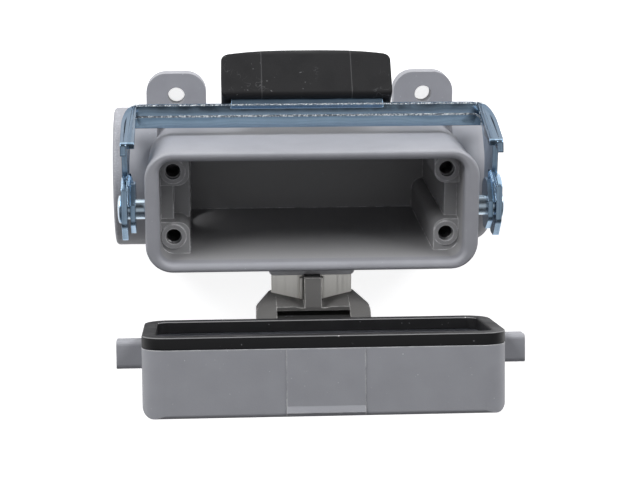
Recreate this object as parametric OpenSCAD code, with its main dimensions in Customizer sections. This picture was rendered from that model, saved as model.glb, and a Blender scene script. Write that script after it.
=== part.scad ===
// Heavy duty rectangular connector: surface-mount housing, single locking lever and hinged cover.
// Millimetres. The mounting face is z = 0, the rim opens upwards (+Z) and the lever lies on the +Y side.
// The cover is drawn swung open and the lever is drawn released.

/* [Housing] */
// Height from the mounting face to the rim
housing_h = 60; // [56:0.5:66]
// Length of the rim
rim_w = 79; // [78:0.5:82]
// Depth of the rim
rim_d = 29; // [28.5:0.25:30]
// Corner radius of the rim
rim_r = 6.5; // [5:0.25:7.5]
// Height of the lip below the rim edge
lip_h = 3.2; // [2:0.2:5]
// How far the lip stands proud of the walls
lip_out = 0.45; // [0.2:0.05:0.8]
// Rim thickness on the short ends
end_wall = 3.4; // [2.6:0.1:3.4]
// Wall thickness on the long sides
side_wall = 2.2; // [1.8:0.1:2.6]
// Thickness of the closed floor
floor_t = 3.5; // [2.5:0.25:5]
// Radius on the long upper edges of the rim
rim_edge_r = 0.8; // [0.4:0.1:1]

/* [Insert seat] */
// Depth of the insert seat below the rim
seat_drop = 10.3; // [9:0.1:12]
// Hole spacing along the housing
insert_pitch_x = 66; // [65:0.25:66.5]
// Hole spacing across the housing
insert_pitch_y = 16; // [15:0.25:16.5]
// Diameter of the insert screw holes
insert_hole_d = 3.8; // [3.2:0.1:4.2]
// Depth of the insert screw holes
insert_hole_depth = 14; // [10:0.5:16]
// Outer diameter of the raised ring around each hole
ring_d = 6; // [5.2:0.1:6.6]
// Height of the raised ring
ring_h = 0.4; // [0.2:0.1:0.8]
// Distance from a hole to the inner face of its pillar, on the side of the open entry
pillar_land_x = 3.9; // [3.4:0.1:4.4]
// The same distance on the side of the blank boss
pillar_land_blank = 3; // [2.9:0.1:3.8]
// Distance from a hole to the pocket between the pillars
pillar_land_y = 3.5; // [3.3:0.1:4]
// Radius on the free corner of each pillar
pillar_r = 2.75; // [1.5:0.25:3.25]
// Height of the web that the open entry passes through
web_h = 40; // [33:0.5:44]
// Width of the earthing shelf beyond the deep cavity
shelf_w = 3.1; // [2:0.1:3.1]
// Depth of the earthing shelf below the insert seat
shelf_drop = 3.7; // [2.5:0.1:5]

/* [Cable entries] */
// Diameter of the entry bosses
entry_boss_d = 35.2; // [33:0.1:36]
// How far the entry bosses stand out from the walls
entry_boss_out = 9.05; // [7:0.25:12]
// Gap between the bosses and the mounting face
entry_lift = 0.1; // [0.1:0.1:1.5]
// Wall diameter of the threaded entry
entry_bore_d = 23.5; // [20:0.5:24.5]
// Lead-in at the mouth of the entry
entry_chamfer = 0.9; // [0.5:0.1:1.5]
// Edge radius of the machined boss
entry_edge_r = 1; // [0.5:0.25:3]
// Edge radius of the blank boss
blank_edge_r = 5; // [3:0.25:7]

/* [Mounting ears] */
// Hole spacing along the housing
ear_pitch_x = 65; // [60:0.5:68]
// Hole spacing across the housing
ear_pitch_y = 37; // [36:0.5:42]
// Diameter of the ear holes
ear_hole_d = 4.4; // [4:0.1:5.5]
// Width of an ear
ear_w = 15.6; // [12:0.2:17]
// Distance from hole to ear tip
ear_tip = 5.9; // [5.2:0.1:6.5]
// Thickness of an ear
ear_t = 4.8; // [3:0.2:7]
// Corner radius of an ear
ear_r = 5.2; // [3:0.2:5.8]

/* [Hinge] */
// Distance of the hinge axis outside the rim
hinge_out = 12.4; // [12:0.1:14]
// Height of the hinge axis above the rim
hinge_rise = 3.4; // [3.2:0.1:4.4]
// Diameter of the hinge pin
hinge_pin_d = 2.5; // [2:0.1:3]
// Diameter of the knuckles
knuckle_d = 5; // [4.6:0.1:5.4]
// Clear width between the bracket knuckles
window_w = 17.4; // [15:0.2:18]
// Overall width of the bracket across its knuckles
bracket_w = 27.2; // [25:0.2:30]
// Width of the bracket at its root
bracket_root_w = 19.6; // [18.5:0.2:21]
// Width of the central rib of the bracket
rib_w = 4; // [3:0.2:4.6]
// Thickness of the bar that closes the window
bar_t = 1; // [0.8:0.1:1.5]
// Width of the hinge plate
plate_w = 19.4; // [17:0.2:20]
// Thickness of the hinge plate
plate_t = 0.8; // [0.6:0.1:1.2]
// Depth of the hinge plate below the rim
plate_drop = 6.4; // [6:0.1:8]
// Height of the folded edges beside the slot
plate_fold_h = 1.1; // [0.8:0.1:1.6]
// How far the hinge boss stands out from the wall
hinge_boss_out = 2.65; // [2:0.1:3.2]
// Width of the hinge boss
hinge_boss_w = 20.6; // [20.4:0.2:24]
// Height of the hinge boss
hinge_boss_h = 11; // [6:0.5:16]
// Radius on the outer edges of the hinge boss
hinge_boss_r = 1.2; // [0.5:0.1:2]

/* [Cover] */
// Depth of the cover across the long sides
cover_d = 30.9; // [30.5:0.1:32]
// Height of the cover above its seal
cover_h = 14.9; // [13:0.1:17]
// Wall thickness of the cover
cover_wall = 2; // [1.6:0.1:2.4]
// Thickness of the cover's top
cover_top = 2; // [1.5:0.1:3]
// Corner radius of the cover
cover_r = 5.5; // [4.5:0.25:6.5]
// Edge radius on the ends of the cover's top
cover_end_r = 2.4; // [1.5:0.1:4.5]
// Edge radius on the long sides of the cover's top
cover_side_r = 1; // [0.6:0.1:2.5]
// Width of the raised pad on the free side
pad_w = 17; // [12:0.5:22]
// Height that the pad stands proud
pad_out = 0.2; // [0.1:0.05:0.5]
// Length of the finger lip at the end of the pad
pad_lip = 2.4; // [1.5:0.1:4]
// How much further the finger lip stands out at its edge
pad_lip_out = 0.5; // [0.3:0.05:0.8]
// Exposed thickness of the seal
seal_h = 2.8; // [2:0.1:3.4]
// Width of the seal
seal_w = 3; // [2.6:0.1:3.6]
// Depth of the seal's tongue in the edge of the cover
seal_tongue = 1.5; // [0.8:0.1:2.5]
// Width of the seal's tongue
seal_tongue_w = 0.8; // [0.5:0.1:0.9]
// Length of a locking peg
peg_l = 5.8; // [5.7:0.1:6.5]
// Width of a locking peg
peg_w = 6; // [5:0.1:6.4]
// Height of a locking peg
peg_h = 6.25; // [5.5:0.05:6.5]
// Distance of the pegs from the face of the seal
peg_rise = 2.24; // [2:0.02:2.8]
// Swing of the cover from closed to open
cover_swing = 80; // [70:1:84]

/* [Locking lever] */
// How far the lever arms stand outside the rim ends
lever_out = 5.5; // [5.5:0.1:6.5]
// Sheet thickness
sheet_t = 1.4; // [1:0.1:1.6]
// Width of the folded arms
channel_w = 3.3; // [3.1:0.1:3.8]
// Depth of the pivot below the rim
pivot_drop = 5.5; // [5.2:0.1:6.5]
// Radius of the pivot eye
eye_r = 5.1; // [4.6:0.1:5.6]
// Length of the tail behind the pivot
tail_l = 7.3; // [6:0.1:8]
// Length of the inner cheek behind the pivot
cheek_tail = 5.6; // [5.2:0.1:6]
// Width of the hook beyond the slot
hook_w = 2; // [1.6:0.1:3]
// Distance from the pivot to the crossbar
lever_reach = 26.25; // [26:0.25:28]
// Angle of the crossbar below the pivot when released
lever_rest = 43.9; // [42.5:0.1:44.5]
// Depth of the arms below the pivot when released
arm_depth = 14; // [11:0.5:15]
// Radius on the outer corners between arms and crossbar
arm_corner_r = 3; // [1.5:0.25:3.5]
// Turn of the lever from released to locked
lever_turn = 86; // [84:0.5:88]
// Width of the crossbar
bar_w = 5.8; // [5:0.1:6.4]
// Height of the crease along the crossbar
bar_crease = 0.5; // [0.3:0.05:0.8]
// Depth of the stiffening fold on the crossbar
bar_fold = 3; // [2:0.1:4]

/* [Grip] */
// Width of the grip
grip_w = 42; // [40:0.5:46]
// Length of the grip from the crossbar at its middle
grip_l = 14; // [12:0.1:16]
// Thickness of the grip
grip_t = 7.8; // [7:0.1:9]
// Thickness of the grip behind the steel tab
grip_back = 5.4; // [4.5:0.1:5.8]
// How much the grip's end is arched
grip_arch = 2; // [0.8:0.1:2.6]
// Radius on the grip's outer edge
grip_edge_r = 2.6; // [1.5:0.1:2.8]
// Width of the steel tab inside the grip
tab_w = 37.3; // [34:0.1:38]
// Length of the steel tab
tab_l = 9.5; // [7:0.1:10.5]

/* [Pivot pins] */
// Diameter of the pin shank
pivot_d = 4.8; // [4:0.1:5]
// Diameter of the pin head
pivot_head_d = 6.7; // [6:0.1:8]
// Thickness of the pin head
pivot_head_t = 0.5; // [0.4:0.1:1.2]
// Length of the pin inside the housing wall
pivot_seat = 2.2; // [1.5:0.1:2.4]

/* [Clearances] */
// Radial clearance of a running pin
run_gap = 0.06; // [0.03:0.01:0.1]
// Side clearance between moving faces
side_gap = 0.12; // [0.1:0.01:0.2]
// Gap between the closed seal and the rim
seal_gap = 0.1; // [0.05:0.05:0.2]
// Clearance of a locking peg in the lever slot
slot_gap = 0.3; // [0.2:0.05:0.5]
// Clearance of seated pieces
fit_gap = 0.05; // [0.02:0.01:0.1]

/* [Hidden] */
$fn = 64;

// Body outline below the lip
body_w = rim_w - 2 * lip_out;
body_d = rim_d - 2 * lip_out;
body_r = rim_r - lip_out;
cavity_w = rim_w - 2 * end_wall;
cavity_d = rim_d - 2 * side_wall;
cavity_r = max(rim_r - end_wall, 1);
seat_z = housing_h - seat_drop;
pillar_x = insert_pitch_x / 2 - pillar_land_x;
pillar_blank = insert_pitch_x / 2 - pillar_land_blank;
pocket_y = insert_pitch_y / 2 - pillar_land_y;
deep_x = cavity_w / 2 - shelf_w;
entry_z = entry_boss_d / 2 + entry_lift;
entry_end = body_w / 2 + entry_boss_out;

// Hinge axis and the parts around it
hinge_y = -(rim_d / 2 + hinge_out);
hinge_z = housing_h + hinge_rise;
boss_face = -(body_d / 2 + hinge_boss_out);
plate_top = housing_h - plate_drop;
plate_low = plate_top - plate_t;
boss_top = plate_top + 1.4;
rib_clear = 0.7;
rib_start = boss_face - rib_clear;
slot_w = rib_w + 2 * fit_gap;
window_face = hinge_y + knuckle_d / 2 + 0.8;
bar_face = window_face + bar_t;
root_edge = window_face + 2.3;
shoulder = root_edge - 1.6;
foot_t = 1.2;
rib_high = housing_h - 0.8;
cheek_low = housing_h - 1;

// Cover in its closed place
seal_face = housing_h + seal_gap;
cover_low = seal_face + seal_h;
cover_high = cover_low + cover_h;
arm_low = cover_low + 0.1;
bar_high = arm_low - 1;
peg_low = seal_face + peg_rise;

// Lever, measured from its pivot: first value outwards (+Y), second upwards (+Z)
pivot_z = housing_h - pivot_drop;
peg_near = peg_low - pivot_z;
peg_far = peg_near + peg_h;
slot_in = peg_near - slot_gap;
slot_out = norm([peg_far, peg_w / 2]) + slot_gap;
lock_dir = 90 - lever_turn;
hook_out = slot_out + hook_w;
bar_at = lever_reach * [cos(lever_rest), -sin(lever_rest)];
plate_out = rim_w / 2 + lever_out;
plate_in = plate_out - sheet_t;
cheek_in = plate_out - channel_w;
cheek_out = cheek_in + 1.2;
arm_tip = [hook_out, eye_r - 0.6];
arm_heel = [bar_at[0] + bar_w / 2 + 0.5, bar_at[1] + 3];
web_from = [2, eye_r];
web_to = [slot_in - 1.2, 1.4];
web_point_l = 5.6;
grip_dir = lever_rest - 3.4;
grip_foot = 0.45;
grip_at = bar_at + [bar_w / 2 + 0.3, -1];

// ---- shared shapes ----

module rounded_rect(w, d, r) {
  square([w - 2 * r, d], center = true);
  square([w, d - 2 * r], center = true);
  for (x = [-1, 1], y = [-1, 1])
    translate([x * (w / 2 - r), y * (d / 2 - r)]) circle(r);
}

// A closed outline whose corners are rounded: each point is [x, y, radius]
function unit(v) = v / norm(v);
function flat(p) = [p[0], p[1]];
function arc(c, r, a, d, n) = [for (i = [0:n]) c + r * [cos(a + d * i / n), sin(a + d * i / n)]];
function heading(v) = atan2(v[1], v[0]);
function turn(a, b) = (b - a + 540) % 360 - 180;
function corner(p, q, s, r, n) =
  let(a = unit(p - q), b = unit(s - q), half = acos(a * b) / 2, c = q + unit(a + b) * r / sin(half),
      from = heading(q + a * r / tan(half) - c), to = heading(q + b * r / tan(half) - c))
  arc(c, r, from, turn(from, to), n);
function rounded(pts, n = 5) =
  let(k = len(pts))
  [for (i = [0:k - 1])
    each pts[i][2] > 0
      ? corner(flat(pts[(i + k - 1) % k]), flat(pts[i]), flat(pts[(i + 1) % k]), pts[i][2], n)
      : [flat(pts[i])]];

// Extrudes an outline given as (+Y, +Z) points along X, from x = from to x = to
module along_x(from, to) {
  translate([from, 0, 0]) rotate([90, 0, 90]) linear_extrude(to - from) children();
}

// Puts the closed cover in its open place
module swung_open() {
  translate([0, hinge_y, hinge_z])
    rotate([cover_swing, 0, 0])
      translate([0, -hinge_y, -hinge_z]) children();
}

// ---- housing ----

// Cylinder boss along +X with a rounded outer edge
module entry_boss(edge_r) {
  translate([body_w / 2 - 2, 0, entry_z])
    rotate([0, 90, 0])
      rotate_extrude($fn = 96) {
        square([entry_boss_d / 2, entry_boss_out + 2 - edge_r]);
        square([entry_boss_d / 2 - edge_r, entry_boss_out + 2]);
        translate([entry_boss_d / 2 - edge_r, entry_boss_out + 2 - edge_r]) circle(edge_r, $fn = 24);
      }
}

module ear() {
  reach = ear_pitch_y / 2 + ear_tip;
  linear_extrude(ear_t)
    difference() {
      union() {
        translate([ear_pitch_x / 2 - ear_w / 2, 0]) square([ear_w, reach - ear_r]);
        translate([ear_pitch_x / 2 - ear_w / 2 + ear_r, 0]) square([ear_w - 2 * ear_r, reach]);
        for (s = [-1, 1])
          translate([ear_pitch_x / 2 + s * (ear_w / 2 - ear_r), reach - ear_r]) circle(ear_r);
      }
      translate([ear_pitch_x / 2, ear_pitch_y / 2]) circle(d = ear_hole_d);
    }
}

module hinge_boss() {
  half = hinge_boss_w / 2;
  difference() {
    translate([0, 0, boss_top - hinge_boss_h])
      linear_extrude(hinge_boss_h)
        polygon(rounded([
          [-half, 1 - body_d / 2, 0],
          [-half, boss_face, hinge_boss_r],
          [half, boss_face, hinge_boss_r],
          [half, 1 - body_d / 2, 0]
        ]));
    translate([-plate_w / 2 - fit_gap, boss_face - 1, plate_low - fit_gap])
      cube([plate_w + 2 * fit_gap, hinge_boss_out + 1, plate_t + 2 * fit_gap]);
  }
}

// Deep part of the cavity: a rectangle that steps round the four pillars
function past_pillar(land) = [
  [deep_x, pocket_y, 0],
  [land, pocket_y, min(pillar_r, deep_x - land - fit_gap)],
  [land, cavity_d / 2, 0]
];

module deep_outline() {
  blank = past_pillar(pillar_blank);
  open = past_pillar(pillar_x);
  polygon(rounded([
    for (p = blank) p,
    for (i = [2:-1:0]) [-open[i][0], open[i][1], open[i][2]],
    for (p = open) [-p[0], -p[1], p[2]],
    for (i = [2:-1:0]) [blank[i][0], -blank[i][1], blank[i][2]]
  ]));
}

module cavity() {
  translate([0, 0, seat_z]) linear_extrude(seat_drop + 1) rounded_rect(cavity_w, cavity_d, cavity_r);
  translate([0, 0, floor_t]) linear_extrude(seat_z - floor_t + 0.5) deep_outline();
  translate([-cavity_w / 2, -pocket_y, seat_z - shelf_drop]) cube([cavity_w, 2 * pocket_y, shelf_drop + 0.5]);
}

module insert_points() {
  for (x = [-1, 1], y = [-1, 1])
    translate([x * insert_pitch_x / 2, y * insert_pitch_y / 2, seat_z]) children();
}

module housing() {
  color([0.64, 0.65, 0.68])
  difference() {
    union() {
      difference() {
        union() {
          linear_extrude(housing_h - lip_h) rounded_rect(body_w, body_d, body_r);
          intersection() {
            translate([0, 0, housing_h - lip_h]) linear_extrude(lip_h) rounded_rect(rim_w, rim_d, rim_r);
            along_x(-rim_w, rim_w)
              union() {
                translate([-rim_d / 2, 0]) square([rim_d, housing_h - rim_edge_r]);
                translate([-rim_d / 2 + rim_edge_r, 0]) square([rim_d - 2 * rim_edge_r, housing_h]);
                for (s = [-1, 1])
                  translate([s * (rim_d / 2 - rim_edge_r), housing_h - rim_edge_r]) circle(rim_edge_r);
              }
          }
          entry_boss(blank_edge_r);
          mirror([1, 0, 0]) entry_boss(entry_edge_r);
          for (x = [0, 1], y = [0, 1]) mirror([x, 0, 0]) mirror([0, y, 0]) ear();
          hinge_boss();
        }
        cavity();
      }
      insert_points() translate([0, 0, -1]) cylinder(h = 1 + ring_h, d = ring_d);
      translate([-cavity_w / 2, -pocket_y - 1, floor_t - 1])
        cube([cavity_w / 2 - pillar_x, 2 * pocket_y + 2, web_h - floor_t + 1]);
    }
    insert_points() translate([0, 0, -insert_hole_depth]) cylinder(h = insert_hole_depth + ring_h + 1, d = insert_hole_d);
    translate([-entry_end - 1, 0, entry_z]) rotate([0, 90, 0]) cylinder(h = entry_end + 1 - pillar_x + 0.5, d = entry_bore_d);
    translate([-entry_end - 0.01, 0, entry_z])
      rotate([0, 90, 0])
        cylinder(h = entry_chamfer, d1 = entry_bore_d + 2 * entry_chamfer, d2 = entry_bore_d);
    for (s = [-1, 1])
      translate([s * (rim_w / 2 - pivot_seat / 2 + 0.5), 0, pivot_z])
        rotate([0, 90, 0]) cylinder(h = pivot_seat + 1, d = pivot_d + 2 * fit_gap, center = true);
  }
}

// ---- hinge ----

module hinge_plate() {
  tip = window_face - 0.3;
  color([0.78, 0.77, 0.74])
  difference() {
    union() {
      translate([-plate_w / 2, tip, plate_low]) cube([plate_w, -body_d / 2 - tip, plate_t]);
      for (s = [0, 1])
        mirror([s, 0, 0])
          translate([slot_w / 2, shoulder + fit_gap, plate_low])
            cube([plate_t, boss_face - 0.8 - shoulder - fit_gap, plate_t + plate_fold_h]);
    }
    translate([-slot_w / 2, tip - 1, plate_low - 1]) cube([slot_w, rib_start + fit_gap * 2 - tip + 1, plate_t + 2]);
  }
}

// Side view of one knuckle arm of the bracket
module bracket_cheek() {
  translate([hinge_y, hinge_z]) circle(d = knuckle_d);
  polygon([
    [hinge_y - knuckle_d / 2, hinge_z],
    [hinge_y - knuckle_d / 2 + 0.4, plate_low - foot_t],
    [root_edge, plate_low - foot_t],
    [root_edge, plate_top + 0.8],
    [bar_face, bar_high - 0.6],
    [hinge_y + knuckle_d / 2 * cos(20), hinge_z + knuckle_d / 2 * sin(20)]
  ]);
}

// Side view of the web between the knuckles
module bracket_web() {
  polygon([
    [window_face, plate_top],
    [window_face, bar_high],
    [bar_face, bar_high],
    [bar_face, bar_high - 1.4],
    [root_edge, plate_top + 1.2],
    [root_edge, plate_top]
  ]);
}

// Side view of the sloped floor that closes the window from below
module bracket_floor() {
  under = hinge_z - knuckle_d / 2 - 0.7;
  polygon([
    [window_face + 0.2, plate_top],
    [window_face + 0.2, plate_top + 2.4],
    [hinge_y, under],
    [hinge_y - 1.6, under],
    [hinge_y - 1.6, under - 1]
  ]);
}

// Side view of the rib, which drops through the slot of the plate and reaches over the boss
module bracket_rib() {
  polygon([
    [rib_start, plate_low - foot_t],
    [rib_start, boss_top + 0.5],
    [boss_face + 0.4, boss_top + 0.5],
    [boss_face + 0.4, rib_high],
    [bar_face, bar_high],
    [window_face, bar_high],
    [window_face, plate_low - foot_t]
  ]);
}

// Top view of the bracket: two slanted shoulders that open out to the knuckles
module bracket_plan() {
  polygon(rounded([
    [-bracket_w / 2, hinge_y - knuckle_d, 0],
    [-bracket_w / 2, bar_face - 0.4, 0.8],
    [-bracket_root_w / 2, root_edge, 0.5],
    [-rib_w / 2 - 1.2, shoulder, 0],
    [rib_w / 2 + 1.2, shoulder, 0],
    [bracket_root_w / 2, root_edge, 0.5],
    [bracket_w / 2, bar_face - 0.4, 0.8],
    [bracket_w / 2, hinge_y - knuckle_d, 0]
  ]));
}

// Front view of the bracket: its sides slope in from the knuckles to the root
module bracket_front() {
  polygon([
    [-bracket_w / 2, hinge_z + knuckle_d],
    [-bracket_w / 2, cheek_low],
    [-bracket_root_w / 2, plate_low - foot_t - 1],
    [bracket_root_w / 2, plate_low - foot_t - 1],
    [bracket_w / 2, cheek_low],
    [bracket_w / 2, hinge_z + knuckle_d]
  ]);
}

module hinge_bracket() {
  color([0.5, 0.5, 0.51])
  difference() {
    union() {
      difference() {
        intersection() {
          union() {
            along_x(-bracket_w / 2, -window_w / 2) bracket_cheek();
            along_x(window_w / 2, bracket_w / 2) bracket_cheek();
            along_x(-window_w / 2, window_w / 2) bracket_web();
            along_x(-window_w / 2 - 0.1, window_w / 2 + 0.1) bracket_floor();
          }
          translate([0, 0, plate_low - foot_t - 1]) linear_extrude(hinge_z + knuckle_d - plate_low) bracket_plan();
          rotate([90, 0, 0]) linear_extrude(-2 * hinge_y) bracket_front();
        }
        translate([-plate_w / 2 - fit_gap, window_face - 1, plate_low])
          cube([plate_w + 2 * fit_gap, root_edge - window_face + 2, plate_t]);
      }
      along_x(-rib_w / 2, rib_w / 2) bracket_rib();
      along_x(-bracket_root_w / 2, bracket_root_w / 2)
        translate([window_face, plate_low - foot_t]) square([root_edge - window_face, foot_t]);
    }
    translate([-bracket_w, hinge_y, hinge_z]) rotate([0, 90, 0]) cylinder(h = 2 * bracket_w, d = hinge_pin_d + 2 * fit_gap);
  }
}

module hinge_pin() {
  color([0.75, 0.75, 0.76])
  translate([-bracket_w / 2, hinge_y, hinge_z]) rotate([0, 90, 0]) cylinder(h = bracket_w, d = hinge_pin_d, $fn = 48);
}

// ---- cover ----

// Outer form of the cover: one outline from each of three directions
module cover_form() {
  intersection() {
    translate([0, 0, cover_low]) linear_extrude(cover_h) rounded_rect(rim_w, cover_d, cover_r);
    translate([0, cover_d, 0]) rotate([90, 0, 0]) linear_extrude(2 * cover_d) cover_side(rim_w, cover_end_r);
    along_x(-rim_w, rim_w) cover_side(cover_d, cover_side_r);
  }
}

module cover_side(w, r) {
  translate([-w / 2, cover_low]) square([w, cover_h - r]);
  translate([-w / 2 + r, cover_low]) square([w - 2 * r, cover_h]);
  for (s = [-1, 1]) translate([s * (w / 2 - r), cover_high - r]) circle(r);
}

// Locking peg on the +X end, with eased corners; its root stops short of the seal
module peg() {
  difference() {
    along_x(rim_w / 2 - cover_wall, rim_w / 2 + peg_l)
      polygon(rounded([
        [-peg_w / 2, peg_low, 1],
        [peg_w / 2, peg_low, 1],
        [peg_w / 2, peg_low + peg_h, 1],
        [-peg_w / 2, peg_low + peg_h, 1]
      ], 4));
    translate([0, -peg_w, peg_low - 1]) cube([rim_w / 2 + fit_gap, 2 * peg_w, cover_low - peg_low + 1]);
  }
}

module cover_arm() {
  arm_w = window_w - 2 * side_gap;
  along_x(-arm_w / 2, arm_w / 2)
    union() {
      translate([hinge_y, hinge_z]) circle(d = knuckle_d);
      polygon([
        [hinge_y, arm_low],
        [-cover_d / 2 + 1, arm_low],
        [-cover_d / 2 + 1, hinge_z + knuckle_d / 2 + 2.5],
        [-cover_d / 2 - 1.5, hinge_z + knuckle_d / 2],
        [hinge_y, hinge_z + knuckle_d / 2]
      ]);
    }
}

// Side view of the pad and its finger lip
module pad_side() {
  face = cover_d / 2 + pad_out;
  polygon([
    [cover_d / 2 - 1, cover_low],
    [face, cover_low],
    [face, cover_high - pad_lip],
    [face + pad_lip_out, cover_high - cover_side_r],
    [face - 0.1, cover_high - 0.2],
    [cover_d / 2 - 1, cover_high - 0.2]
  ]);
}

// Ring in the middle of the cover's wall, for the tongue of the seal
module tongue_ring(gap) {
  inset = (cover_wall - seal_tongue_w) / 2 - gap;
  inner = inset + seal_tongue_w + 2 * gap;
  difference() {
    rounded_rect(rim_w - 2 * inset, cover_d - 2 * inset, cover_r - inset);
    rounded_rect(rim_w - 2 * inner, cover_d - 2 * inner, cover_r - inner);
  }
}

module cover() {
  color([0.56, 0.57, 0.6])
  swung_open()
    difference() {
      union() {
        cover_form();
        along_x(-pad_w / 2, pad_w / 2) pad_side();
        peg();
        mirror([1, 0, 0]) peg();
        cover_arm();
      }
      translate([0, 0, cover_low - 1])
        linear_extrude(cover_h - cover_top + 1)
          rounded_rect(rim_w - 2 * cover_wall, cover_d - 2 * cover_wall, cover_r - cover_wall);
      translate([0, 0, cover_low - 1]) linear_extrude(seal_tongue + fit_gap + 1) tongue_ring(fit_gap);
      translate([-rim_w, hinge_y, hinge_z]) rotate([0, 90, 0]) cylinder(h = 2 * rim_w, d = hinge_pin_d + 2 * run_gap);
    }
}

module cover_gasket() {
  color([0.13, 0.13, 0.14])
  swung_open()
    union() {
      difference() {
        translate([0, 0, seal_face]) linear_extrude(seal_h) rounded_rect(rim_w, cover_d, cover_r);
        translate([0, 0, seal_face - 1])
          linear_extrude(seal_h + 2)
            rounded_rect(rim_w - 2 * seal_w, cover_d - 2 * seal_w, max(cover_r - seal_w, 1));
      }
      translate([0, 0, cover_low - 0.5]) linear_extrude(seal_tongue + 0.5) tongue_ring(0);
    }
}

// ---- locking lever ----

// Path that a locking peg sweeps as the lever turns, with a square closed end
module peg_path() {
  intersection() {
    difference() {
      circle(slot_out, $fn = 96);
      circle(slot_in, $fn = 96);
    }
    rotate(lock_dir) translate([-2 * slot_out, -peg_w / 2 - slot_gap]) square(4 * slot_out);
  }
}

// Side view of a lever arm
module arm_outline() {
  polygon(rounded([
    [-tail_l, -2.2, 1.2],
    [-tail_l, 1.6, 1.2],
    [-3, eye_r, 2],
    [slot_out - 0.4, eye_r, 0.6],
    [arm_tip[0], arm_tip[1], 1.2],
    [arm_heel[0], arm_heel[1], 3],
    [arm_heel[0], bar_at[1] - 1.8, 1],
    [bar_at[0] - bar_w / 2 - 0.4, bar_at[1] - 1.6, 1.2],
    [slot_in + 1.5, -arm_depth, 4],
    [-2, -arm_depth, 3],
    [-4.6, -eye_r, 3]
  ]));
}

// Fold along the outer edge of an arm, seen from the side
module arm_fold() {
  intersection() {
    arm_outline();
    translate(arm_tip)
      rotate(heading(arm_heel - arm_tip))
        translate([0, -sheet_t]) square([norm(arm_heel - arm_tip) + 1, 2 * sheet_t]);
  }
}

// Cheek beside the pivot, seen from the side
module cheek_outline() {
  polygon(rounded([
    [-cheek_tail, -2, 1],
    [-cheek_tail, 1.4, 1],
    [-2.6, eye_r, 2],
    [web_from[0], eye_r, 0.4],
    [web_to[0], web_to[1], 0],
    [web_to[0], -2, 1],
    [slot_in - 3, -eye_r, 2],
    [-1, -eye_r, 3]
  ]));
}

// Web that joins the cheek to the arm, along the slope above the pivot
module cheek_web() {
  translate(web_from)
    rotate(heading(web_to - web_from))
      translate([0.3, -1.3]) square([norm(web_to - web_from) - 0.9, 1.2]);
}

// Pointed end of the web, bent down beside the slot
module web_point() {
  middle = (cheek_in + plate_out) / 2;
  root = middle - cheek_in;
  translate([middle, web_to[0] - 0.3, web_to[1] - 0.1])
    rotate([-72, 0, 0])
      translate([0, 0, -1])
        linear_extrude(1)
          polygon([[-root + 0.1, -0.3], [-0.4, web_point_l], [0.4, web_point_l], [root - 0.4, -0.3]]);
}

// Section of the crossbar: a creased web with a fold along its inner edge
module bar_section() {
  h = bar_w / 2;
  c = bar_crease;
  t = sheet_t;
  translate(bar_at)
    polygon([
      [-h, 0.5],
      [0, c],
      [h, -0.8],
      [h - 0.3, -0.8 - t],
      [0, c - t],
      [-h + t, 0.5 - t],
      [-h + t - 0.5, -bar_fold],
      [-h - 0.5, -bar_fold]
    ]);
}

// Tab that carries the grip, in the grip's own plane
module grip_plane() {
  translate([0, grip_at[0], pivot_z + grip_at[1]]) rotate([-grip_dir, 0, 0]) children();
}

module lever() {
  color([0.6, 0.66, 0.74])
  difference() {
    union() {
      translate([0, 0, pivot_z]) {
        for (s = [0, 1])
          mirror([s, 0, 0]) {
            along_x(plate_in, plate_out) difference() { arm_outline(); peg_path(); }
            along_x(cheek_in, plate_in + 0.2) difference() { arm_fold(); peg_path(); }
            along_x(cheek_in, cheek_out) cheek_outline();
            along_x(cheek_in, plate_in + 0.2) cheek_web();
            web_point();
          }
        along_x(-plate_out + 0.2, plate_out - 0.2) bar_section();
      }
      grip_plane() translate([-tab_w / 2, -1.6, -sheet_t / 2]) cube([tab_w, tab_l + 1.6, sheet_t]);
    }
    translate([-rim_w, 0, pivot_z]) rotate([0, 90, 0]) cylinder(h = 2 * rim_w, d = pivot_d + 2 * run_gap);
    for (s = [0, 1]) mirror([s, 0, 0]) arm_corner();
  }
}

// Material cut off the corner between an arm and the crossbar
module arm_corner() {
  translate([plate_out - arm_corner_r, arm_heel[0] - arm_corner_r, 0])
    linear_extrude(pivot_z - 1)
      difference() {
        square(arm_corner_r + 1);
        circle(arm_corner_r);
      }
}

// Outline of the grip seen square on: arched end and straight sides
module grip_outline() {
  half = grip_w / 2;
  big = (half * half + grip_arch * grip_arch) / (2 * grip_arch);
  arch = [for (i = [-5:5]) let(x = i * (half - 3) / 5) [x, grip_l - big + sqrt(big * big - x * x), 0]];
  polygon(rounded([
    [-half, grip_foot, 1],
    [-half, grip_l - grip_arch, 2],
    for (p = arch) p,
    [half, grip_l - grip_arch, 2],
    [half, grip_foot, 1]
  ]));
}

module lever_grip() {
  front = grip_t - grip_back;
  color([0.15, 0.15, 0.16])
  grip_plane()
    difference() {
      intersection() {
        translate([0, 0, -grip_back]) linear_extrude(grip_t) grip_outline();
        along_x(-grip_w, grip_w)
          polygon(rounded([
            [grip_foot, -grip_back, 1.5],
            [grip_l + 0.5, -grip_back + 0.6, grip_edge_r],
            [grip_l + 0.5, front, grip_edge_r],
            [grip_foot + 0.5, front, 1],
            [grip_foot, front - 1.5, 0]
          ], 7));
      }
      translate([-tab_w / 2 - fit_gap, -3, -sheet_t / 2 - fit_gap])
        cube([tab_w + 2 * fit_gap, tab_l + 3 + fit_gap, sheet_t + 2 * fit_gap]);
    }
}

// ---- pivot pins ----

module pivot_pin() {
  color([0.7, 0.74, 0.8])
  translate([0, 0, pivot_z])
    rotate([0, 90, 0]) {
      translate([0, 0, rim_w / 2 - pivot_seat]) cylinder(h = plate_out - rim_w / 2 + pivot_seat + side_gap, d = pivot_d);
      translate([0, 0, plate_out + side_gap]) cylinder(h = pivot_head_t, d = pivot_head_d);
    }
}

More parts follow.
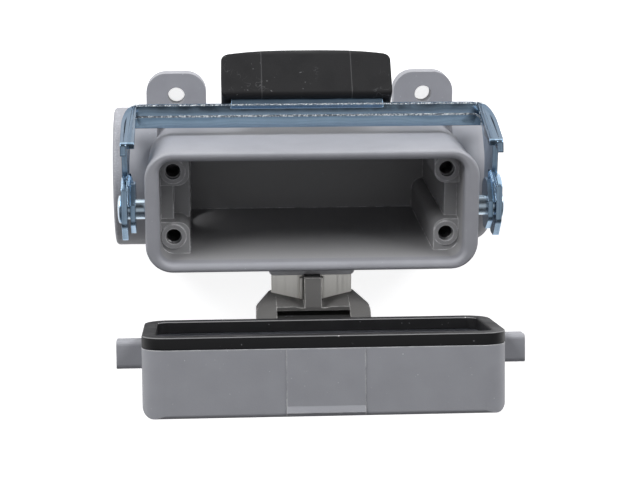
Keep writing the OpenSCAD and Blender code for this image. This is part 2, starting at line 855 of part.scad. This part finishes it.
module pivot_pin_right() {
  pivot_pin();
}

module pivot_pin_left() {
  mirror([1, 0, 0]) pivot_pin();
}

housing();
hinge_plate();
hinge_bracket();
hinge_pin();
cover();
cover_gasket();
lever();
lever_grip();
pivot_pin_left();
pivot_pin_right();
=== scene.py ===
"""Finish of the surface-mount connector housing: castings, cover, locking lever, seal and grip."""

import math

import bmesh
import bpy
from mathutils import Matrix, Vector


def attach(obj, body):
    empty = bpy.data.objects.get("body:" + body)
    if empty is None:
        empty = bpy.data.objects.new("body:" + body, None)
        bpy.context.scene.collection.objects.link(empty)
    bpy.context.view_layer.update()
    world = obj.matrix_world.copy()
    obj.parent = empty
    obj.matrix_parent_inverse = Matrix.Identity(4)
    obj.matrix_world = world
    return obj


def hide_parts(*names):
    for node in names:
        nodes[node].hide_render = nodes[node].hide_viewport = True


MM = 0.001
MERGE = 0.001 * MM
ON_PLANE = 0.0001 * MM

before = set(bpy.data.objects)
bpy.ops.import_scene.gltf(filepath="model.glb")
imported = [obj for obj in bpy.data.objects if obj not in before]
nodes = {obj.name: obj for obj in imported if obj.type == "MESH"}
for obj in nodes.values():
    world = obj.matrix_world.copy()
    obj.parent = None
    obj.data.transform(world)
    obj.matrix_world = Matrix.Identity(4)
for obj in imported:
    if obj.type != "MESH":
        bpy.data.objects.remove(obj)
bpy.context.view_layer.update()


# ---- studio ----

RIM_CENTRE = Vector((0, 0, 60 * MM))
CAMERA_TILT = math.radians(14.43)
CAMERA_YAW = math.radians(3.82)
CAMERA_ROLL = math.radians(0.16)
CAMERA_DISTANCE = 420 * MM
CAMERA_SHIFT = Vector((-1.63, 6.54, 0)) * MM
CAMERA_LENS = 100.2

FLOOR_SIZE = 3
FLOOR_GLOW = 0.8
TENT_LOW = (0.42, 0.42, 0.43)
TENT_MIDDLE = (0.06, 0.06, 0.062)
TENT_TOP = (0.62, 0.625, 0.635)


def studio_camera():
    """Looks down into the rim, a little from the lever side."""
    back = Vector((
        -math.sin(CAMERA_YAW) * math.cos(CAMERA_TILT),
        math.sin(CAMERA_TILT),
        math.cos(CAMERA_YAW) * math.cos(CAMERA_TILT),
    ))
    level = Vector((0, 1, 0)).cross(back).normalized()
    rise = back.cross(level)
    right = level * math.cos(CAMERA_ROLL) + rise * math.sin(CAMERA_ROLL)
    up = rise * math.cos(CAMERA_ROLL) - level * math.sin(CAMERA_ROLL)
    camera = bpy.data.objects.new("camera", bpy.data.cameras.new("camera"))
    camera.data.lens = CAMERA_LENS
    camera.data.sensor_width = 36
    camera.data.clip_start = 10 * MM
    camera.data.clip_end = 10
    turned = Matrix((right, up, back)).transposed().to_4x4()
    aim = RIM_CENTRE - right * CAMERA_SHIFT.x - up * CAMERA_SHIFT.y
    turned.translation = aim + back * CAMERA_DISTANCE
    camera.matrix_world = turned
    bpy.context.scene.collection.objects.link(camera)
    bpy.context.scene.camera = camera


def softbox(name, place, aim, size, energy):
    lamp = bpy.data.lights.new(name, "AREA")
    lamp.shape = "RECTANGLE"
    lamp.size = size[0]
    lamp.size_y = size[1]
    lamp.energy = energy
    box = bpy.data.objects.new(name, lamp)
    bpy.context.scene.collection.objects.link(box)
    place = Vector(place)
    turned = (Vector(aim) - place).to_track_quat("-Z", "Y").to_matrix().to_4x4()
    turned.translation = place
    box.matrix_world = turned


def pale_floor():
    """White table under the housing, which keeps the soft shadow."""
    mesh = bpy.data.meshes.new("studio_floor")
    bm = bmesh.new()
    bmesh.ops.create_grid(bm, x_segments=1, y_segments=1, size=FLOOR_SIZE)
    bm.to_mesh(mesh)
    bm.free()
    floor = bpy.data.objects.new("studio_floor", mesh)
    bpy.context.scene.collection.objects.link(floor)

    finish = bpy.data.materials.new("studio_white")
    finish.use_nodes = True
    tree = finish.node_tree
    tree.nodes.clear()
    matt = tree.nodes.new("ShaderNodeBsdfDiffuse")
    matt.inputs["Color"].default_value = (0.8, 0.8, 0.8, 1)
    glow = tree.nodes.new("ShaderNodeEmission")
    seen = tree.nodes.new("ShaderNodeLightPath")
    either = tree.nodes.new("ShaderNodeMath")
    either.operation = "MAXIMUM"
    tree.links.new(seen.outputs["Is Camera Ray"], either.inputs[0])
    tree.links.new(seen.outputs["Is Glossy Ray"], either.inputs[1])
    level = tree.nodes.new("ShaderNodeMath")
    level.operation = "MULTIPLY"
    level.inputs[1].default_value = FLOOR_GLOW
    tree.links.new(either.outputs[0], level.inputs[0])
    tree.links.new(level.outputs[0], glow.inputs["Strength"])
    both = tree.nodes.new("ShaderNodeAddShader")
    tree.links.new(matt.outputs[0], both.inputs[0])
    tree.links.new(glow.outputs[0], both.inputs[1])
    out = tree.nodes.new("ShaderNodeOutputMaterial")
    tree.links.new(both.outputs[0], out.inputs["Surface"])
    mesh.materials.append(finish)


def studio_world():
    """Light tent: pale low down, dim higher up and a little brighter straight above."""
    world = bpy.data.worlds.new("studio")
    world.use_nodes = True
    tree = world.node_tree
    backdrop = tree.nodes["Background"]
    direction = tree.nodes.new("ShaderNodeTexCoord").outputs["Generated"]
    parts = tree.nodes.new("ShaderNodeSeparateXYZ")
    tree.links.new(direction, parts.inputs["Vector"])
    shade = ramp(
        tree, parts.outputs["Z"],
        (0.0, TENT_LOW), (0.6, TENT_MIDDLE), (0.84, TENT_MIDDLE), (1.0, TENT_TOP),
    )
    tree.links.new(shade, backdrop.inputs["Color"])
    backdrop.inputs["Strength"].default_value = 1
    bpy.context.scene.world = world
    bpy.context.scene.view_settings.view_transform = "Standard"


# ---- finishes ----

def new_finish(name, colour, roughness, metallic=0.0):
    finish = bpy.data.materials.new(name)
    finish.use_nodes = True
    shader = finish.node_tree.nodes["Principled BSDF"]
    shader.inputs["Base Color"].default_value = (*colour, 1)
    shader.inputs["Roughness"].default_value = roughness
    shader.inputs["Metallic"].default_value = metallic
    return finish, finish.node_tree, shader


def object_place(tree):
    return tree.nodes.new("ShaderNodeTexCoord").outputs["Object"]


def cloud(tree, place, scale, detail=3.0, rough=0.5):
    """Soft noise; scale is in patches per metre."""
    noise = tree.nodes.new("ShaderNodeTexNoise")
    noise.inputs["Scale"].default_value = scale
    noise.inputs["Detail"].default_value = detail
    noise.inputs["Roughness"].default_value = rough
    tree.links.new(place, noise.inputs["Vector"])
    return noise.outputs["Fac"]


def ramp(tree, value, *stops):
    """Colour ramp; each stop is (position, colour)."""
    node = tree.nodes.new("ShaderNodeValToRGB")
    elements = node.color_ramp.elements
    while len(elements) < len(stops):
        elements.new(0.5)
    for element, (position, colour) in zip(elements, stops):
        element.position = position
        element.color = (*colour, 1)
    tree.links.new(value, node.inputs["Fac"])
    return node.outputs["Color"]


def spread(tree, value, low, high, to_low, to_high):
    node = tree.nodes.new("ShaderNodeMapRange")
    node.inputs["From Min"].default_value = low
    node.inputs["From Max"].default_value = high
    node.inputs["To Min"].default_value = to_low
    node.inputs["To Max"].default_value = to_high
    tree.links.new(value, node.inputs["Value"])
    return node.outputs["Result"]


def rounded(tree, radius):
    """Normals turned evenly across the sharp edges, as a small rounding turns them."""
    node = tree.nodes.new("ShaderNodeBevel")
    node.samples = 6
    node.inputs["Radius"].default_value = radius * MM
    return node.outputs["Normal"]


def bump(tree, height, distance, rounding=0.25):
    """Fine relief over edges rounded by so many millimetres."""
    node = tree.nodes.new("ShaderNodeBump")
    node.inputs["Distance"].default_value = distance
    tree.links.new(height, node.inputs["Height"])
    tree.links.new(rounded(tree, rounding), node.inputs["Normal"])
    return node.outputs["Normal"]


def maths(tree, operation, first, second=0.0):
    """One Math node; either input is a socket or a number."""
    node = tree.nodes.new("ShaderNodeMath")
    node.operation = operation
    for socket, value in zip(node.inputs, (first, second)):
        if isinstance(value, (int, float)):
            socket.default_value = value
        else:
            tree.links.new(value, socket)
    return node.outputs[0]


def blend(tree, amount, first, second):
    """Mixes two colours, each a socket or three numbers."""
    node = tree.nodes.new("ShaderNodeMix")
    node.data_type = "RGBA"
    sockets = {socket.identifier: socket for socket in node.inputs}
    tree.links.new(amount, sockets["Factor_Float"])
    for identifier, value in (("A_Color", first), ("B_Color", second)):
        if isinstance(value, tuple):
            sockets[identifier].default_value = (*value, 1)
        else:
            tree.links.new(value, sockets[identifier])
    return [socket for socket in node.outputs if socket.identifier == "Result_Color"][0]


def axis_parts(tree, place):
    node = tree.nodes.new("ShaderNodeSeparateXYZ")
    tree.links.new(place, node.inputs["Vector"])
    return node.outputs["X"], node.outputs["Y"], node.outputs["Z"]


def line_mask(tree, distance, half_width):
    """1 on a line and 0 beyond half_width, from the distance to the line in metres."""
    away = maths(tree, "ABSOLUTE", distance)
    return spread(tree, away, half_width * 0.5 * MM, half_width * MM, 1, 0)


def specks(tree, place, scale, above):
    """Few small spots: 1 where fine noise rises over a level."""
    return spread(tree, cloud(tree, place, scale, 1), above, above + 0.02, 0, 1)


def inside_box(tree, place, low, high):
    """1 inside a box given in millimetres, 0 outside it."""
    inside = None
    for value, least, most in zip(axis_parts(tree, place), low, high):
        above = maths(tree, "GREATER_THAN", value, least * MM)
        below = maths(tree, "LESS_THAN", value, most * MM)
        both = maths(tree, "MULTIPLY", above, below)
        inside = both if inside is None else maths(tree, "MULTIPLY", inside, both)
    return inside


def edge_wear(tree, place, width, strength):
    """Patchy wear along the sharp edges, so many millimetres wide."""
    geometry = tree.nodes.new("ShaderNodeNewGeometry")
    turn = tree.nodes.new("ShaderNodeVectorMath")
    turn.operation = "DOT_PRODUCT"
    tree.links.new(rounded(tree, width), turn.inputs[0])
    tree.links.new(geometry.outputs["Normal"], turn.inputs[1])
    edge = spread(tree, turn.outputs["Value"], 0.985, 0.9, 0, strength)
    patches = spread(tree, cloud(tree, place, 420, 3), 0.38, 0.58, 0.15, 1)
    return maths(tree, "MULTIPLY", edge, patches)


ENTRY_FACE = 47.2
CAVITY = ((-36.4, -12.9, 2), (36.4, 12.9, 56))
HINGE_BOSS = ((-10.5, -17.2, 50), (10.5, -14.15, 56))
HINGE_BARREL = ((-9.9, -30, 59), (9.9, -22, 67.5))


def powder_coat(name, colour, grain=0.02, mouth=False, shade_the_barrel=False, wear=0.0):
    """Satin coat over a casting: faint mottling, fine grain and a few pale specks."""
    finish, tree, shader = new_finish(name, colour, 0.5)
    place = object_place(tree)
    pale = tuple(min(1, part * 1.04) for part in colour)
    deep = tuple(part * 0.96 for part in colour)
    chipped = tuple(min(1, part * 1.9) for part in colour)
    mottle = cloud(tree, place, 160, 4)
    base = ramp(tree, mottle, (0.32, deep), (0.68, pale))
    dusty = specks(tree, place, 2200, 0.785)
    grains = cloud(tree, place, 3200, 2)
    if mouth:
        # The coat is thin and rough where the entry barrel was faced off
        along = axis_parts(tree, place)[0]
        rim = line_mask(tree, maths(tree, "ADD", along, ENTRY_FACE * MM), 1.1)
        rough = spread(tree, cloud(tree, place, 2400, 4, 0.8), 0.5, 0.66, 0, 0.55)
        dusty = maths(tree, "MAXIMUM", dusty, maths(tree, "MULTIPLY", rim, rough))
        # Painted light: a paler, more neutral coat in the deep cavity stands in for light bounced
        # around inside it
        cavity = inside_box(tree, place, *CAVITY)
        base = blend(tree, cavity, base, (0.36, 0.36, 0.37))
        # Near-white sharp edges in the cavity: partly wear where the inserts rub, partly painted
        # highlight along edges that catch the light
        rubbed = maths(tree, "MULTIPLY", cavity, edge_wear(tree, place, 0.45, 1.0))
        base = blend(tree, rubbed, base, (0.9, 0.9, 0.92))
        # Painted light: the boss that holds the hinge plate is coloured near white, standing in
        # for light falling on it
        painted_boss_light = inside_box(tree, place, *HINGE_BOSS)
        base = blend(tree, painted_boss_light, base, (0.9, 0.9, 0.92))
    if wear:
        bare = tuple(min(1, part * 4) for part in colour)
        base = blend(tree, edge_wear(tree, place, 0.4, wear), base, bare)
    if shade_the_barrel:
        # Painted shade: the barrel that turns on the hinge pin, down in the dark slot, is coloured
        # near black
        shaded_barrel = inside_box(tree, place, *HINGE_BARREL)
        base = blend(tree, shaded_barrel, base, (0.01, 0.01, 0.01))
    tree.links.new(blend(tree, dusty, base, chipped), shader.inputs["Base Color"])
    tree.links.new(spread(tree, grains, 0.3, 0.7, 0.46, 0.6), shader.inputs["Roughness"])
    tree.links.new(bump(tree, grains, grain * MM), shader.inputs["Normal"])
    return finish


def worn_and_lit_edge(name, colour):
    """Paler coat on the edges of a casting: partly wear where handling has polished the coat off,
    partly painted highlight along edges that catch the light.
    """
    finish, tree, shader = new_finish(name, colour, 0.5)
    place = object_place(tree)
    rubbed = spread(tree, cloud(tree, place, 900, 4), 0.38, 0.6, 0, 1)
    dull = tuple(part * 0.4 for part in colour)
    tree.links.new(blend(tree, rubbed, dull, colour), shader.inputs["Base Color"])
    return finish


# The way from the pivots towards the crossbar, as the lever lies back
BACK_Y = 0.968
BACK_Z = -0.249
CREASE_HALF = 43.2
CREASE_TURN = 2.2
# Box over the folds of the arms, where the zinc finish is painted darker as shade
FOLD_SHADE_BOX = ((-50, 14, 38.6), (50, 30, 58.4))
CROSSBAR = ((-50, 14, 20), (50, 30, 44))


def crease_distance(tree, place, across):
    """Signed distance to the crease, which runs along the crossbar and turns up both arms."""
    x = axis_parts(tree, place)[0]
    dot = tree.nodes.new("ShaderNodeVectorMath")
    dot.operation = "DOT_PRODUCT"
    dot.inputs[1].default_value = (0, BACK_Y, BACK_Z)
    tree.links.new(place, dot.inputs[0])
    side = maths(tree, "SUBTRACT", maths(tree, "ABSOLUTE", x), (CREASE_HALF - CREASE_TURN) * MM)
    rise = maths(tree, "SUBTRACT", dot.outputs["Value"], (across - CREASE_TURN) * MM)
    out_x = maths(tree, "MAXIMUM", side, 0.0)
    out_y = maths(tree, "MAXIMUM", rise, 0.0)
    square_x = maths(tree, "MULTIPLY", out_x, out_x)
    square_y = maths(tree, "MULTIPLY", out_y, out_y)
    square = maths(tree, "ADD", square_x, square_y)
    inside = maths(tree, "MINIMUM", maths(tree, "MAXIMUM", side, rise), 0.0)
    reach = maths(tree, "ADD", maths(tree, "SQRT", square), inside)
    return maths(tree, "SUBTRACT", reach, CREASE_TURN * MM)


def bright_zinc(name, across=None):
    """Zinc plate with a blue passivated sheen; across is where the pressed crease lies."""
    finish, tree, shader = new_finish(name, (0.5, 0.6, 0.7), 0.2, 1.0)
    place = object_place(tree)
    sheen = cloud(tree, place, 70, 2)
    base = ramp(tree, sheen, (0.35, (0.36, 0.47, 0.58)), (0.65, (0.56, 0.66, 0.74)))
    rough = spread(tree, cloud(tree, place, 400, 3), 0.3, 0.7, 0.14, 0.26)
    height = cloud(tree, place, 260, 2)
    if across is not None:
        distance = crease_distance(tree, place, across)
        drawn = tree.nodes.new("ShaderNodeTexNoise")
        drawn.noise_dimensions = "1D"
        drawn.inputs["Scale"].default_value = 900
        drawn.inputs["Detail"].default_value = 3
        wander = maths(tree, "MULTIPLY", maths(tree, "SUBTRACT", sheen, 0.5), 2.5 * MM)
        tree.links.new(maths(tree, "ADD", distance, wander), drawn.inputs["W"])
        streak = spread(tree, drawn.outputs["Fac"], 0.35, 0.65, 0, 1)
        base = blend(tree, streak, (0.22, 0.33, 0.45), (0.37, 0.5, 0.64))
        # Painted shade: the folds of the arms are coloured dark blue-black, against the bright
        # floor they reflect
        fold = inside_box(tree, place, *FOLD_SHADE_BOX)
        base = blend(tree, maths(tree, "MULTIPLY", fold, 0.75), base, (0.07, 0.1, 0.14))
        # Painted highlights: broken bright lines along the crease and along the crossbar's edge,
        # where the pressed ridges catch the light
        torn = spread(tree, cloud(tree, place, 2300, 3, 0.7), 0.48, 0.6, 0, 1)
        crease = line_mask(tree, distance, 0.3)
        edge = line_mask(tree, maths(tree, "SUBTRACT", distance, 2.75 * MM), 0.22)
        lines = maths(tree, "MAXIMUM", crease, edge)
        bar = inside_box(tree, place, *CROSSBAR)
        lines = maths(tree, "MULTIPLY", lines, bar)
        painted_crease_highlights = blend(tree, torn, (0.12, 0.14, 0.17), (0.85, 0.88, 0.9))
        base = blend(tree, lines, base, painted_crease_highlights)
        rough = maths(tree, "ADD", rough, maths(tree, "MULTIPLY", lines, 0.25))
        height = maths(tree, "ADD", height, maths(tree, "MULTIPLY", lines, torn))
    tree.links.new(base, shader.inputs["Base Color"])
    tree.links.new(rough, shader.inputs["Roughness"])
    tree.links.new(bump(tree, height, 0.05 * MM), shader.inputs["Normal"])
    return finish


def plain_sheet(name, colour, roughness, metallic):
    """Cold-rolled or turned steel with a fine grain."""
    finish, tree, shader = new_finish(name, colour, roughness, metallic)
    place = object_place(tree)
    sheen = cloud(tree, place, 240, 2)
    deep = tuple(part * 0.82 for part in colour)
    tree.links.new(ramp(tree, sheen, (0.4, deep), (0.6, colour)), shader.inputs["Base Color"])
    grains = cloud(tree, place, 2400, 2)
    low = roughness * 0.8
    high = roughness * 1.2
    tree.links.new(spread(tree, grains, 0.3, 0.7, low, high), shader.inputs["Roughness"])
    tree.links.new(bump(tree, grains, 0.006 * MM), shader.inputs["Normal"])
    return finish


def rolled_plate(name, colour):
    """Bright stainless sheet, rolled a little towards the rim, with faint drawing lines."""
    finish, tree, shader = new_finish(name, colour, 0.3, 1.0)
    place = object_place(tree)
    x, y = axis_parts(tree, place)[:2]
    drawn = tree.nodes.new("ShaderNodeTexNoise")
    drawn.noise_dimensions = "1D"
    drawn.inputs["Scale"].default_value = 260
    tree.links.new(x, drawn.inputs["W"])
    wave = maths(tree, "MULTIPLY", drawn.outputs["Fac"], 0.5 * MM)
    slope = maths(tree, "ADD", maths(tree, "MULTIPLY", y, -0.22), wave)
    tree.links.new(bump(tree, slope, 1.0), shader.inputs["Normal"])
    return finish


def moulded_black(name, colour, roughness, grain, shine, seams=None):
    """Black rubber or plastic; seams is how far the two mould lines lie from the middle."""
    finish, tree, shader = new_finish(name, colour, roughness)
    shader.inputs["Specular IOR Level"].default_value = shine
    place = object_place(tree)
    grains = cloud(tree, place, 2600, 2)
    worn = cloud(tree, place, 220, 5)
    dusty = specks(tree, place, 1300, 0.76)
    pale = tuple(min(1, part * 6 + 0.05) for part in colour)
    base = blend(tree, dusty, colour, pale)
    height = grains
    if seams is not None:
        out = maths(tree, "ABSOLUTE", axis_parts(tree, place)[0])
        lines = line_mask(tree, maths(tree, "SUBTRACT", out, seams * MM), 0.14)
        base = blend(tree, maths(tree, "MULTIPLY", lines, 0.35), base, pale)
        # Scuffs: thin curved scratches inside a few worn patches
        level = maths(tree, "SUBTRACT", cloud(tree, place, 420, 2), 0.5)
        scratch = spread(tree, maths(tree, "ABSOLUTE", level), 0, 0.012, 1, 0)
        patch = spread(tree, cloud(tree, place, 110, 2), 0.56, 0.64, 0, 0.7)
        base = blend(tree, maths(tree, "MULTIPLY", scratch, patch), base, pale)
        height = maths(tree, "ADD", grains, maths(tree, "MULTIPLY", lines, -2.0))
    tree.links.new(base, shader.inputs["Base Color"])
    tree.links.new(bump(tree, height, grain * MM), shader.inputs["Normal"])
    smooth = roughness - 0.08
    coarse = roughness + 0.08
    tree.links.new(spread(tree, worn, 0.35, 0.65, smooth, coarse), shader.inputs["Roughness"])
    return finish


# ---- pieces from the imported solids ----

def new_piece(name, bm, body, slot, *finishes):
    """Turns a bmesh into a smooth piece that rides on a body."""
    for face in bm.faces:
        face.smooth = True
    mesh = bpy.data.meshes.new(name)
    bm.to_mesh(mesh)
    bm.free()
    for finish in finishes:
        mesh.materials.append(finish)
    piece = bpy.data.objects.new(name, mesh)
    bpy.context.scene.collection.objects.link(piece)
    even = piece.modifiers.new("even_normals", "WEIGHTED_NORMAL")
    even.keep_sharp = True
    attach(piece, body)
    return piece


def bevelled(bm, edges, width, segments=2, clamp=True):
    result = bmesh.ops.bevel(
        bm, geom=edges, offset=width * MM, offset_type="OFFSET", segments=segments, profile=0.5,
        affect="EDGES", material=-1, clamp_overlap=clamp,
    )
    return result["faces"]


def merge_flats(bm):
    bmesh.ops.dissolve_limit(
        bm, angle_limit=math.radians(0.5), verts=bm.verts, edges=bm.edges, delimit=set()
    )


def softened(node, body, slot, finish, width, angle=25, worn=None, where=None, before=None):
    """A copy of a solid with a small bevel on its sharp edges.

    The bevel is held back where edges lie close together, so on the castings, the lever and the
    grip it stays very narrow, and the rounded normals of their finishes soften the edges instead.
    """
    bm = bmesh.new()
    bm.from_mesh(nodes[node].data)
    bmesh.ops.remove_doubles(bm, verts=bm.verts, dist=MERGE)
    merge_flats(bm)
    for face in bm.faces:
        face.material_index = 0
    if before is not None:
        before(bm)
    sharp = [
        e for e in bm.edges
        if len(e.link_faces) == 2 and e.calc_face_angle() > math.radians(angle)
    ]
    broken = bevelled(bm, sharp, width)
    finishes = [finish]
    # The worn finish goes on the chosen bevel faces: partly wear, partly painted highlight
    if worn is not None:
        for face in broken:
            if where is None or where(face.calc_center_median() / MM, face.normal):
                face.material_index = 1
        finishes.append(worn)
    piece = new_piece(node + "_finished", bm, body, slot, *finishes)
    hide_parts(node)
    return piece


RIM_TOP = 60
RIM_SIDE = 14.5
RIM_ARC = 0.8
# Square of the rim's width over its depth
RIM_LENGTH = 7.4


def turned_out(edge):
    """Whether the wall below an edge of the rim faces away from its middle."""
    wall = min(edge.link_faces, key=lambda face: abs(face.normal.z))
    middle = edge.verts[0].co + edge.verts[1].co
    return wall.normal.x * middle.x / RIM_LENGTH + wall.normal.y * middle.y > 0


def round_the_rim(bm):
    """Squares up the long sides of the rim, then rounds it, more on the inside."""
    arc_low = (RIM_TOP - RIM_ARC - 0.02) * MM
    arc_side = (RIM_SIDE - RIM_ARC) * MM
    for vert in bm.verts:
        if vert.co.z > arc_low and abs(vert.co.y) > arc_side:
            vert.co.z = RIM_TOP * MM
    bmesh.ops.remove_doubles(bm, verts=bm.verts, dist=MERGE)
    merge_flats(bm)
    for across in ((1, 0, 0), (0, 1, 0)):
        ring = [f for f in bm.faces if all(v.co.z > (RIM_TOP - 0.1) * MM for v in f.verts)]
        parts = set(ring) | {e for f in ring for e in f.edges} | {v for f in ring for v in f.verts}
        bmesh.ops.bisect_plane(
            bm, geom=list(parts), dist=ON_PLANE, plane_co=(0, 0, 0), plane_no=across,
        )
    top = [
        e for e in bm.edges
        if len(e.link_faces) == 2 and e.calc_face_angle() > math.radians(40)
        and all(v.co.z > (RIM_TOP - 0.1) * MM for v in e.verts)
    ]
    inner = [e for e in top if not turned_out(e)]
    outer = [e for e in top if turned_out(e)]
    bevelled(bm, inner, 1.3, 4, clamp=False)
    bevelled(bm, outer, 0.75, 3, clamp=False)
    bmesh.ops.remove_doubles(bm, verts=bm.verts, dist=0.004 * MM)


def pillar_corner(centre, normal):
    """The upright edges of the pillars, where the inserts rub as they go in; their paler coat is
    partly wear, partly painted highlight.
    """
    upright = 4 < centre.z < 49.2 and abs(normal.z) < 0.3
    return upright and 27 < abs(centre.x) < 32 and 3.6 < abs(centre.y) < 12.6


def pad_edge(centre, normal):
    """The side edges of the finger pad, near its lip and near the seal; their paler coat is partly
    wear, partly painted highlight.
    """
    side = 8 < abs(centre.x) < 9.1 and (centre.y < -33 or centre.y > -24)
    return side or (abs(centre.x) < 8.6 and centre.y < -34 and normal.z > 0.6)


def seal_lip(centre, normal):
    """The edge of the seal that turns up towards the light, coloured paler as a painted highlight.
    """
    return normal.y > 0.25 and normal.z > 0.25


def rib_edge(centre, normal):
    """The edges of the rib and of the bar between the knuckles, rubbed by the cover; their paler
    coat is partly wear, partly painted highlight.
    """
    return abs(centre.x) < 2.8 or (abs(centre.x) < 9.9 and -23.5 < centre.y < -19.5)


CORNER_X = 40.4
CORNER_RISE = 7.7
CORNER_ROUND = 4.6
CORNER_CUTS = (41.2, 42.0, 42.8, 43.5, 44.1, 44.6)


def press_the_arms(bm):
    """Rounds the corners of the lever and sinks a channel into the fold of each arm."""
    for cut in CORNER_CUTS:
        for turned in (-1, 1):
            bmesh.ops.bisect_plane(
                bm, geom=bm.verts[:] + bm.edges[:] + bm.faces[:], dist=ON_PLANE,
                plane_co=(turned * cut * MM, 0, 0), plane_no=(1, 0, 0),
            )
    for vert in bm.verts:
        rise = (BACK_Y * vert.co.y + BACK_Z * vert.co.z) / MM
        across = abs(vert.co.x) / MM - CORNER_X
        up = rise - CORNER_RISE
        if across > 0 and up > 0 and vert.co.y > 12 * MM:
            reach = math.hypot(across, up)
            if reach > CORNER_ROUND:
                drop = up * (1 - CORNER_ROUND / reach) * MM
                vert.co.y -= BACK_Y * drop
                vert.co.z -= BACK_Z * drop
                vert.co.x *= 1 - across * (1 - CORNER_ROUND / reach) * MM / abs(vert.co.x)
    folds = [
        f for f in bm.faces
        if f.normal.y > 0.9 and f.normal.z > 0.15 and abs(f.calc_center_median().x) > 41.6 * MM
        and f.calc_area() > 3 * MM * MM
    ]
    bmesh.ops.inset_region(
        bm, faces=folds, thickness=0.75 * MM, depth=-0.55 * MM,
        use_even_offset=True, use_boundary=True,
    )


def spun(name, profile, base, side, body, slot, finish, steps=40):
    """A turned piece along X: profile points are (distance out along X, radius)."""
    bm = bmesh.new()
    verts = [
        bm.verts.new((side * out * MM, base[1], base[2] + radius * MM)) for out, radius in profile
    ]
    edges = [bm.edges.new(pair) for pair in zip(verts, verts[1:])]
    bmesh.ops.spin(
        bm, geom=verts + edges, cent=base, axis=(1, 0, 0), angle=2 * math.pi, steps=steps,
        use_merge=True,
    )
    bmesh.ops.remove_doubles(bm, verts=bm.verts, dist=MERGE)
    bmesh.ops.recalc_face_normals(bm, faces=bm.faces)
    return new_piece(name, bm, body, slot, finish)


def thread(name, mouth, axis, radius, depth, pitch, turns, finish):
    """Thread inside a bore: a ridge of three sides wound from the mouth inwards."""
    bm = bmesh.new()
    inward = -Vector(axis)
    side = Vector((0, 1, 0))
    start = Vector(mouth) + inward * pitch * MM
    out = [(radius + 0.05, -0.48 * pitch), (radius - depth, 0), (radius + 0.05, 0.48 * pitch)]
    verts = [bm.verts.new(start + side * r * MM + inward * along * MM) for r, along in out]
    edges = [bm.edges.new((verts[i], verts[(i + 1) % 3])) for i in range(3)]
    per_turn = 28
    bmesh.ops.spin(
        bm, geom=verts + edges, cent=mouth, axis=axis, dvec=inward * pitch * MM / per_turn,
        angle=2 * math.pi * turns, steps=per_turn * turns, use_merge=False,
    )
    open_edges = [e for e in bm.edges if len(e.link_faces) == 1]
    bmesh.ops.holes_fill(bm, edges=open_edges, sides=0)
    bmesh.ops.recalc_face_normals(bm, faces=bm.faces)
    return new_piece(name, bm, "base", "cast_housing", finish)


studio_camera()
studio_world()
pale_floor()
softbox("left_key", (-0.48, 0.55, 0.32), (0, 0, 0.05), (0.3, 0.62), 5.2)
softbox("right_key", (0.48, 0.55, 0.32), (0, 0, 0.05), (0.3, 0.62), 4.6)

coat = powder_coat("cast_housing", (0.31, 0.315, 0.345), mouth=True)
# Paler edge coat for the castings: partly wear, partly painted highlight
coat_edge_lit = worn_and_lit_edge("cast_housing_edge_lit", (0.62, 0.62, 0.64))
softened(
    "housing", "base", "cast_housing", coat, 0.25,
    worn=coat_edge_lit, where=pillar_corner, before=round_the_rim,
)
stainless = rolled_plate("stainless_plate", (0.86, 0.84, 0.79))
softened("hinge_plate", "base", "stainless_plate", stainless, 0.1)
# The bracket's pale edges, from its wear and from its edge coat, are partly wear and partly
# painted highlight
bracket_coat = powder_coat("cast_bracket", (0.095, 0.093, 0.091), wear=1.0)
bracket_edge_lit = worn_and_lit_edge("cast_bracket_edge_lit", (0.95, 0.94, 0.92))
softened(
    "hinge_bracket", "base", "cast_bracket", bracket_coat, 0.25,
    angle=35, worn=bracket_edge_lit, where=rib_edge,
)
turned_steel = plain_sheet("plain_steel", (0.6, 0.6, 0.6), 0.3, 0.9)
softened("hinge_pin", "base", "plain_steel", turned_steel, 0.2)
# Painted shade: the cover's coat is the housing's paint made a little darker
shaded_cover_coat = powder_coat("cast_cover", (0.275, 0.28, 0.305), shade_the_barrel=True, wear=0.35)
softened("cover", "cover", "cast_cover", shaded_cover_coat, 0.3, angle=9, worn=coat_edge_lit, where=pad_edge)
rubber = moulded_black("black_rubber", (0.009, 0.009, 0.01), 0.5, 0.01, 0.25)
# Paler copy of the rubber for the seal's edge facing the lights: painted highlight
rubber_lit_edge = moulded_black("black_rubber_lit_edge", (0.2, 0.2, 0.205), 0.5, 0.01, 0.4)
softened("cover_gasket", "cover", "black_rubber", rubber, 0.55, worn=rubber_lit_edge, where=seal_lip)
lever_zinc = bright_zinc("zinc_plated_steel", across=9.13)
softened("lever", "lever", "zinc_plated_steel", lever_zinc, 0.22, before=press_the_arms)
plastic = moulded_black("black_plastic", (0.01, 0.01, 0.011), 0.55, 0.02, 0.22, seams=11.1)
softened("lever_grip", "lever", "black_plastic", plastic, 0.5)

pin_zinc = bright_zinc("zinc_plated_pin")
PIN_PROFILE = [
    (37.3, 0), (37.3, 2.1), (37.6, 2.4), (45.12, 2.4), (45.12, 3.2), (45.27, 3.35), (45.5, 3.35),
    (45.75, 3.1), (45.95, 2.3), (46.05, 1.2), (46.08, 0),
]
PIVOT = (0, 0, 54.5 * MM)
for side, turned in (("left", -1), ("right", 1)):
    name = "pivot_pin_" + side
    pin = spun(
        name + "_finished", PIN_PROFILE, PIVOT, turned, "base", "zinc_plated_steel", pin_zinc,
    )
    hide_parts(name)

cut_alloy = plain_sheet("cut_alloy", (0.55, 0.55, 0.56), 0.32, 0.9)
for x in (-33, 33):
    for y in (-8, 8):
        name = "insert_thread_" + ("left" if x < 0 else "right") + ("_near" if y < 0 else "_far")
        thread(name, (x * MM, y * MM, 49 * MM), (0, 0, 1), 1.9, 0.32, 0.7, 10, cut_alloy)
thread("entry_thread", (-47.6 * MM, 0, 17.7 * MM), (-1, 0, 0), 11.75, 0.75, 1.5, 9, cut_alloy)
